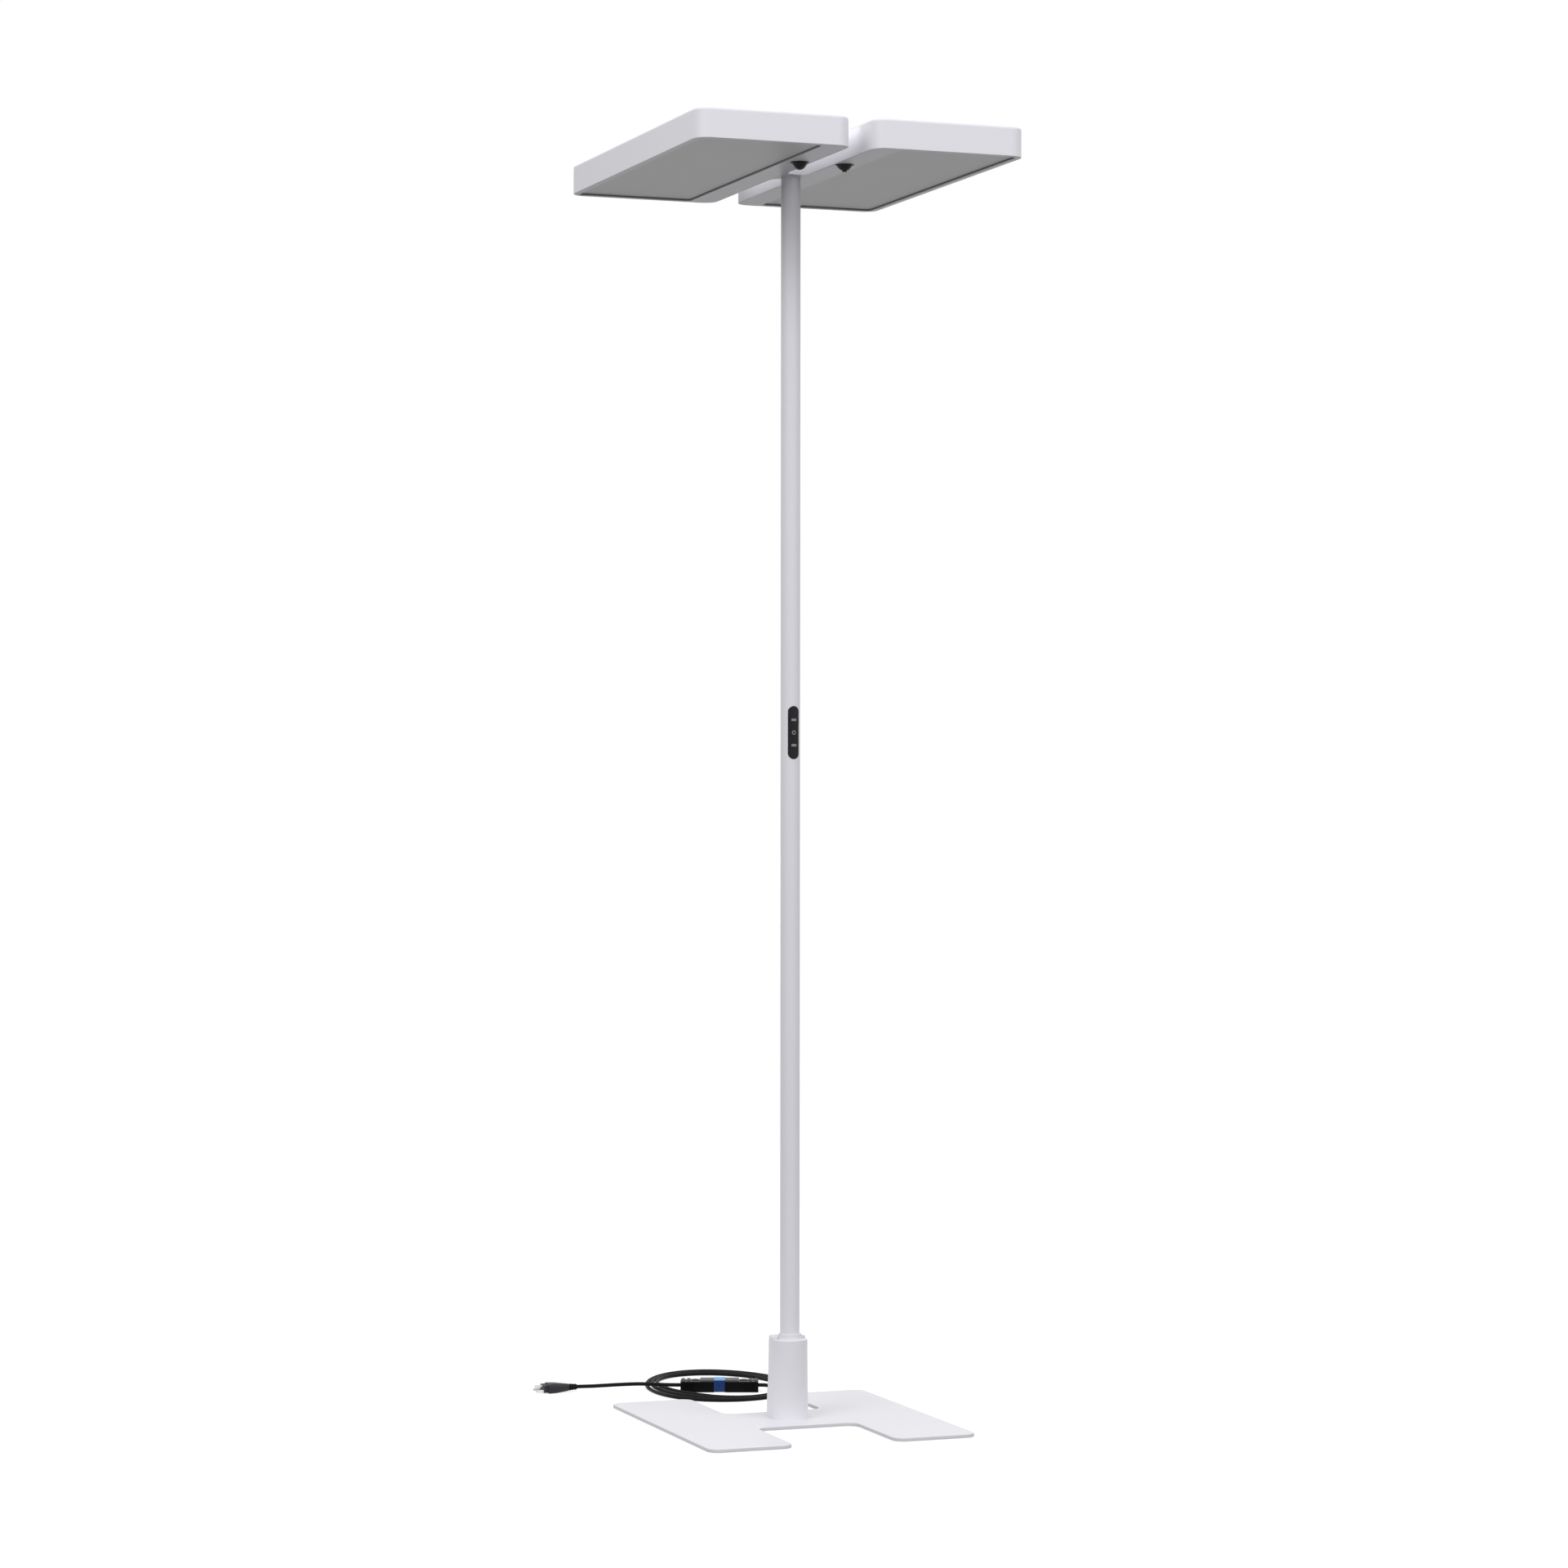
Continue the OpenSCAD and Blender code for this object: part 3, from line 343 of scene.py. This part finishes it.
finishes = {
    "white_paint": satinWhite(),
    "opal": opalAcrylic(),
    "clear_cover": prismAcrylic(),
    "tray_steel": metal("zincSheet", colour(0.52, 0.53, 0.54), colour(0.66, 0.67, 0.68), 0.28,
                        (900, 30, 900)),
    "screw_steel": metal("screwZinc", colour(0.50, 0.50, 0.52), colour(0.64, 0.64, 0.66), 0.25,
                         (60, 60, 1600)),
    "pin_metal": metal("nickelPins", colour(0.50, 0.49, 0.47), colour(0.66, 0.65, 0.62), 0.16,
                       (60, 1400, 1400)),
    "light_plastic": plastic("paleNylon", colour(0.72, 0.72, 0.69), colour(0.80, 0.80, 0.77), 0.42,
                             1500, 0.0003),
    "board": circuitWhite(),
    "sensor_black": sensorGloss(),
    "panel_black": keyBlack(),
    "black_plastic": plastic("blackNylon", colour(0.003, 0.003, 0.003), colour(0.007, 0.007, 0.008),
                             0.40, 2200, 0.0004, 0.14),
    "cord_black": cordSheath(),
    "plug_grey": plastic("plugRubber", colour(0.022, 0.022, 0.026), colour(0.040, 0.040, 0.046), 0.46,
                         1800, 0.0004, 0.25),
    "blue_clip": topLitPlastic("clipBlue", clip),
    "rubber": plastic("padRubber", colour(0.030, 0.030, 0.031), colour(0.060, 0.060, 0.060), 0.6,
                      900, 0.0006),
}
for entry in frame["record"]["subparts"]:
    mesh = nodes[entry["node"]].data
    mesh.materials.clear()
    mesh.materials.append(finishes[entry["material_slot"]])
print("finishes:", len(finishes))

# ---- helpers for pieces


def addPiece(name, mesh, slotName, body="root", replaced=(), look=None):
    piece = bpy.data.objects.new(name, mesh)
    bpy.context.scene.collection.objects.link(piece)
    mesh.materials.clear()
    mesh.materials.append(look or finishes[slotName])
    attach(piece, body)
    if replaced:
        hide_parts(*replaced)
    return piece


def plainMesh(helper):
    # the evaluated shape of an object with modifiers, as a mesh of its own
    made = bpy.data.meshes.new_from_object(helper.evaluated_get(bpy.context.evaluated_depsgraph_get()))
    bpy.data.objects.remove(helper)
    return made


def roundedCopy(node, width, segments=3, sharpest=28):
    # a node's solid with its edges rounded where they turn by more than the given degrees
    work = bmesh.new()
    work.from_mesh(nodes[node].data)
    bmesh.ops.remove_doubles(work, verts=work.verts, dist=2e-6)
    bmesh.ops.dissolve_limit(work, angle_limit=math.radians(1), verts=work.verts, edges=work.edges)
    mesh = bpy.data.meshes.new(node + "Round")
    work.to_mesh(mesh)
    work.free()
    mesh.shade_smooth()
    mesh.set_sharp_from_angle(angle=math.radians(sharpest))
    helper = bpy.data.objects.new("helper", mesh)
    bpy.context.scene.collection.objects.link(helper)
    bevel = helper.modifiers.new("roundEdges", "BEVEL")
    bevel.width, bevel.segments = width, segments
    bevel.limit_method, bevel.angle_limit = "ANGLE", math.radians(sharpest)
    bevel.harden_normals = True
    return plainMesh(helper)


# ---- mains cord: the same routes as the solids, in metres

cord = {"diameter": 0.006, "lie": 0.0031, "turn": math.radians(-20.6), "glandOut": (0.0, 0.060, 0.016)}
coil = {"from": -105, "to": -1070, "stepsPerTurn": 24,
        "left": (-0.213, -0.008), "right": (-0.0155, 0.0105), "near": (0.2345, -0.0188),
        "far": (0.4705, 0.0145), "lean": (0.386, -0.096), "egg": (-0.078, 0.081)}


def laid(point):
    x, y, z = point
    c, s = math.cos(cord["turn"]), math.sin(cord["turn"])
    return Vector((x * c - y * s, x * s + y * c, z))


def coilPoint(angle):
    loops = (-80 - angle) / 360
    left, right, near, far, lean, egg = (coil[k][0] + coil[k][1] * loops
                                         for k in ("left", "right", "near", "far", "lean", "egg"))
    halfWidth, halfDepth = (right - left) / 2, (far - near) / 2
    c, s = math.cos(math.radians(angle)), math.sin(math.radians(angle))
    return laid(((left + right) / 2 + halfWidth * c,
                 (near + far) / 2 + halfDepth * s * (1 - egg * c) - lean * halfWidth * c, cord["lie"]))


def coilPath():
    steps = round((coil["from"] - coil["to"]) * coil["stepsPerTurn"] / 360)
    path = [coilPoint(coil["from"] + (coil["to"] - coil["from"]) * i / steps) for i in range(steps + 1)]
    inward = (coilPoint(coil["from"] - 1) - coilPoint(coil["from"])).normalized()
    outward = (coilPoint(coil["to"]) - coilPoint(coil["to"] + 1)).normalized()
    d = cord["diameter"]
    return [path[0] - 2 * d * inward, path[0] - d * inward] + path + [path[-1] + d * outward,
                                                                       path[-1] + 2 * d * outward]


leadPath = [laid(p) for p in (
    (0.014, 0.334, 0.0031), (0.015, 0.319, 0.0031), (0.0145, 0.304, 0.0031), (0.012, 0.289, 0.0031),
    (0.0075, 0.274, 0.0031), (0.0015, 0.2595, 0.0031), (-0.0045, 0.245, 0.0031), (-0.0085, 0.230, 0.0031),
    (-0.011, 0.215, 0.0031), (-0.0125, 0.200, 0.0031), (-0.014, 0.185, 0.0031), (-0.0155, 0.170, 0.0031),
    (-0.0175, 0.155, 0.0031), (-0.0195, 0.140, 0.0033), (-0.0215, 0.126, 0.0048), (-0.023, 0.113, 0.0076),
    (-0.0242, 0.1005, 0.0108), (-0.025, 0.087, 0.0136), (-0.0252, 0.0745, 0.0154))]
linkPath = [laid(p) for p in (
    (-0.050, 0.311, 0.010), (-0.045, 0.311, 0.010), (-0.039, 0.3101, 0.0099), (-0.033, 0.3077, 0.0095),
    (-0.0278, 0.3037, 0.0089), (-0.0238, 0.2985, 0.0081), (-0.0214, 0.2925, 0.0072),
    (-0.0205, 0.286, 0.0063), (-0.0208, 0.2795, 0.0054), (-0.0226, 0.273, 0.0046),
    (-0.026, 0.265, 0.0038), (-0.032, 0.2565, 0.0033), (-0.039, 0.248, 0.0031), (-0.047, 0.240, 0.0031),
    (-0.056, 0.2335, 0.0031), (-0.067, 0.229, 0.0031), (-0.079, 0.2265, 0.0031), (-0.091, 0.2265, 0.0031),
    (-0.103, 0.2285, 0.0031), (-0.114, 0.232, 0.0031), (-0.124, 0.2366, 0.0031))]
tailPath = [laid(p) for p in (
    (-0.175, 0.311, 0.010), (-0.182, 0.311, 0.010), (-0.193, 0.3124, 0.0099), (-0.205, 0.3153, 0.0098),
    (-0.217, 0.319, 0.0098), (-0.230, 0.3226, 0.0097), (-0.243, 0.3253, 0.0094), (-0.256, 0.3268, 0.0089),
    (-0.269, 0.327, 0.0083), (-0.282, 0.3258, 0.0078), (-0.294, 0.3231, 0.0075), (-0.305, 0.3198, 0.0073),
    (-0.315, 0.3166, 0.0072), (-0.324, 0.3138, 0.0073), (-0.331, 0.3116, 0.0074),
    (-0.3363, 0.30985, 0.0075), (-0.342, 0.308, 0.0075))]


def routeLength(path):
    return sum((b - a).length for a, b in zip(path, path[1:]))


def layCord(name, path, replaced):
    line = bpy.data.curves.new(name, "CURVE")
    line.dimensions = "3D"
    line.resolution_u = 4
    line.bevel_depth = cord["diameter"] / 2
    line.bevel_resolution = 5
    line.use_fill_caps = True
    spline = line.splines.new("BEZIER")
    spline.bezier_points.add(len(path) - 1)
    for knot, point in zip(spline.bezier_points, path):
        knot.co = point
        knot.handle_left_type = knot.handle_right_type = "AUTO"
    piece = bpy.data.objects.new(name, line)
    bpy.context.scene.collection.objects.link(piece)
    line.materials.append(finishes["cord_black"])
    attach(piece, "root")
    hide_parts(*replaced)
    return piece


glandTip = Vector(cord["glandOut"])
lampRun = ([glandTip, glandTip + Vector((0, cord["diameter"], 0))] + leadPath[::-1]
           + coilPath()[::-1] + linkPath[::-1])
lampCord = layCord("lampCord", lampRun, ("cord_lead", "cord_coil", "cord_link"))
plugCord = layCord("plugCord", tailPath, ("cord_tail",))
print("cords laid:", round(routeLength(lampRun), 3), round(routeLength(tailPath), 3))

# ---- coupling and plug, with rounded edges

rounding = {"shell": 0.0006, "clip": 0.0004, "plug": 0.0022, "plugSteps": 4, "plugAngle": 5}

# the coupling shells take the painted top highlight
couplingBlack = topLitPlastic("couplingBlack", shell)
couplingPieces = [
    addPiece("couplingPlugHalf", roundedCopy("coupling_plug_half", rounding["shell"]), "black_plastic",
             replaced=("coupling_plug_half",), look=couplingBlack),
    addPiece("couplingSocketHalf", roundedCopy("coupling_socket_half", rounding["shell"]),
             "black_plastic", replaced=("coupling_socket_half",), look=couplingBlack),
    addPiece("couplingClip", roundedCopy("coupling_clip", rounding["clip"]), "blue_clip",
             replaced=("coupling_clip",))]
plugShape = roundedCopy("plug_body", rounding["plug"], rounding["plugSteps"], rounding["plugAngle"])
plugPieces = [addPiece("plugBody", plugShape, "plug_grey", replaced=("plug_body",)),
              nodes["plug_relief"], nodes["plug_pins"]]

routeLength(lampRun)
routeLength(tailPath)

# ---- repeated shapes, grown by geometry nodes


def newTree(name, inputs):
    # a geometry tree with named inputs; returns the bench, its input wires and a function that ends it
    tree = bpy.data.node_groups.new(name, "GeometryNodeTree")
    tree.interface.new_socket(name="Geometry", in_out="OUTPUT", socket_type="NodeSocketGeometry")
    for key, kind in inputs.items():
        tree.interface.new_socket(name=key, in_out="INPUT", socket_type=kind)
    bench = Bench(tree)
    entry = tree.nodes.new("NodeGroupInput")
    wires = {key: Wire(bench, entry.outputs[key]) for key in inputs}

    def end(shape):
        whole = bench.add("GeometryNodeRealizeInstances", {"Geometry": shape})
        done = bench.add("GeometryNodeSetMaterial", {"Geometry": whole, "Material": wires["Material"]})
        bench.add("NodeGroupOutput", {"Geometry": done})
    return tree, bench, wires, end


def grow(name, tree, values, slotName, body="root", replaced=(), look=None):
    helper = bpy.data.objects.new(name, bpy.data.meshes.new(name))
    bpy.context.scene.collection.objects.link(helper)
    grower = helper.modifiers.new("grow", "NODES")
    grower.node_group = tree
    known = {**values, "Material": look or finishes[slotName]}
    for item in tree.interface.items_tree:
        if item.in_out == "INPUT":
            grower[item.identifier] = known[item.name]
    mesh = plainMesh(helper)
    mesh.transform(values.get("frame", Matrix.Identity(4)))
    return addPiece(name, mesh, slotName, body, replaced, look)


def rowTree():
    # round rods side by side, each of the same length and thickness
    tree, bench, wires, end = newTree("rodRow", {
        "Count": "NodeSocketInt", "Pitch": "NodeSocketVector", "Length": "NodeSocketFloat",
        "Radius": "NodeSocketFloat", "Material": "NodeSocketMaterial"})
    rod = bench.add("GeometryNodeMeshCylinder", {"Vertices": 8, "Radius": wires["Radius"],
                                                 "Depth": wires["Length"]})
    row = bench.add("GeometryNodeMeshLine", {"Count": wires["Count"], "Offset": wires["Pitch"]})
    end(bench.add("GeometryNodeInstanceOnPoints", {
        "Points": row, "Instance": rod, "Rotation": (math.pi / 2, 0, 0)}))
    return tree


prismRow = {"pitch": 0.0020, "radius": 0.00075, "rise": 0.0004, "endRoom": 0.012}


def prismRibs(side):
    low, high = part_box(side + "_uplight_cover")
    count = int((high.x - low.x) / prismRow["pitch"]) - 1
    start = (low.x + high.x) / 2 - (count - 1) * prismRow["pitch"] / 2
    place = Matrix.Translation((start, 0, high.z - prismRow["radius"] + prismRow["rise"]))
    grow(side + "PrismRibs", rods, {
        "Count": count, "Pitch": (prismRow["pitch"], 0, 0), "Radius": prismRow["radius"],
        "Length": high.y - low.y - prismRow["endRoom"], "frame": place}, "clear_cover")


def frameTree():
    # a flat strip that stands on edge round a rectangle with rounded corners
    tree, bench, wires, end = newTree("shadeStripFrame", {
        "Width": "NodeSocketFloat", "Length": "NodeSocketFloat", "Corner": "NodeSocketFloat",
        "Thickness": "NodeSocketFloat", "Height": "NodeSocketFloat", "Material": "NodeSocketMaterial"})
    outline = bench.add("GeometryNodeCurvePrimitiveQuadrilateral", {"Width": wires["Width"],
                                                                    "Height": wires["Length"]})
    rounded = bench.add("GeometryNodeFilletCurve", {
        "Curve": outline, "Radius": wires["Corner"], "Count": 8}, mode="POLY")
    section = bench.add("GeometryNodeCurvePrimitiveQuadrilateral", {"Width": wires["Thickness"],
                                                                    "Height": wires["Height"]})
    end(bench.add("GeometryNodeCurveToMesh", {"Curve": rounded, "Profile Curve": section}))
    return tree


# painted shade: a dark grey strip standing in for the shadow line in the recess round each diffuser
recessShadeStrip = {"overlap": 0.0025, "clear": 0.0001, "thickness": 0.0005, "height": 0.0018,
              "gap": 0.00005, "corner": 0.008,
              "shade": colour(0.25, 0.25, 0.26), "light": colour(0.30, 0.30, 0.31)}


def layRecessShade(side):
    # a dark grey strip between the diffuser and the rim of the housing: painted shade for the shadow in
    # the window recess
    low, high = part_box(side + "_diffuser")
    inset = recessShadeStrip["overlap"] + recessShadeStrip["clear"] + recessShadeStrip["thickness"] / 2
    bottom = low.z - recessShadeStrip["height"] / 2 - recessShadeStrip["gap"]
    grow(side + "WindowSeal", shadeStrips, {
        "Width": high.x - low.x - 2 * inset, "Length": high.y - low.y - 2 * inset,
        "Corner": recessShadeStrip["corner"] - inset + recessShadeStrip["overlap"],
        "Thickness": recessShadeStrip["thickness"], "Height": recessShadeStrip["height"],
        "frame": Matrix.Translation(((low.x + high.x) / 2, (low.y + high.y) / 2, bottom))},
        "rubber", look=recessShadeGrey)


rods, shadeStrips = rowTree(), frameTree()
recessShadeGrey = plastic("recessShadeGrey", recessShadeStrip["shade"], recessShadeStrip["light"], 0.6, 1400, 0.0003, 0.2)
# each side gets its prism ribs and a strip of painted shade round its diffuser
for side in ("left", "right"):
    prismRibs(side)
    layRecessShade(side)
print("prism ribs and window seals grown")

# ---- floor, light and background

studio = {"skyLow": 0.50, "skyTop": 0.91, "floorBounce": 0.165, "floorSeen": 0.45, "floorGlow": 0.70,
          "floorHalf": 60.0,
          "softboxes": (("leftSoftbox", (-3.3, -2.4, 3.2), (0, 0, 1.25), (2.4, 2.4), 70.0),
                        ("frontSoftbox", (1.9, -3.6, 3.2), (0, 0, 1.25), (2.4, 2.4), 58.0),
                        ("gapStrip", (0, 0, 1.9485), (0, 0, 0), (0.032, 0.48), 0.045)),
          "lightColour": (0.965, 0.955, 1.0)}


def seenDirectly(bench):
    # 1 for what the camera sees, also in a reflection or through something clear
    path = bench.add("ShaderNodeLightPath")
    seen = None
    for name in ("Is Camera Ray", "Is Glossy Ray", "Is Transmission Ray"):
        wire = Wire(bench, path.socket.node.outputs[name])
        seen = wire if seen is None else seen.maths("MAXIMUM", seen, wire)
    return seen


def layFloor():
    mesh = bpy.data.meshes.new("floor")
    half = studio["floorHalf"]
    corners = [(-half, -half, 0), (half, -half, 0), (half, half, 0), (-half, half, 0)]
    mesh.from_pydata(corners, [], [(0, 1, 2, 3)])
    floor = bpy.data.objects.new("floor", mesh)
    bpy.context.scene.collection.objects.link(floor)
    finish, bench = newFinish("paleFloor")
    bounce = bench.add("ShaderNodeBsdfDiffuse", {"Color": colour(*[studio["floorBounce"]] * 3)})
    seen = bench.add("ShaderNodeBsdfDiffuse", {"Color": colour(*[studio["floorSeen"]] * 3)})
    glow = bench.add("ShaderNodeEmission", {"Strength": studio["floorGlow"]})
    close(bench, bench.add("ShaderNodeMixShader", {
        0: seenDirectly(bench), 1: bounce, 2: bench.add("ShaderNodeAddShader", {0: seen, 1: glow})}))
    mesh.materials.append(finish)


def lightSky():
    world = bpy.data.worlds.new("paleSky")
    world.use_nodes = True
    world.node_tree.nodes.clear()
    bench = Bench(world.node_tree)
    # the sky is dimmer at the horizon than overhead
    height = bench.add("ShaderNodeSeparateXYZ", {"Vector": bench.add("ShaderNodeTexCoord")}, out=2)
    rise = height.maths("MAXIMUM", height)
    sky = bench.add("ShaderNodeBackground", {
        "Color": colour(0.99, 0.985, 1.0),
        "Strength": studio["skyLow"] + rise * (studio["skyTop"] - studio["skyLow"])})
    white = bench.add("ShaderNodeBackground", {"Color": colour(1, 1, 1), "Strength": 1.0})
    mixed = bench.add("ShaderNodeMixShader", {0: seenDirectly(bench), 1: sky, 2: white})
    bench.add("ShaderNodeOutputWorld", {"Surface": mixed})
    bpy.context.scene.world = world


def hangSoftbox(name, place, aim, size, power):
    light = bpy.data.lights.new(name, "AREA")
    light.shape, light.size, light.size_y = "RECTANGLE", *size
    light.energy, light.color = power, studio["lightColour"]
    lamp = bpy.data.objects.new(name, light)
    lamp.location = place
    lamp.rotation_euler = (Vector(aim) - Vector(place)).to_track_quat("-Z", "Y").to_euler()
    bpy.context.scene.collection.objects.link(lamp)


layFloor()
lightSky()
for softbox in studio["softboxes"]:
    hangSoftbox(*softbox)
print("stage set")
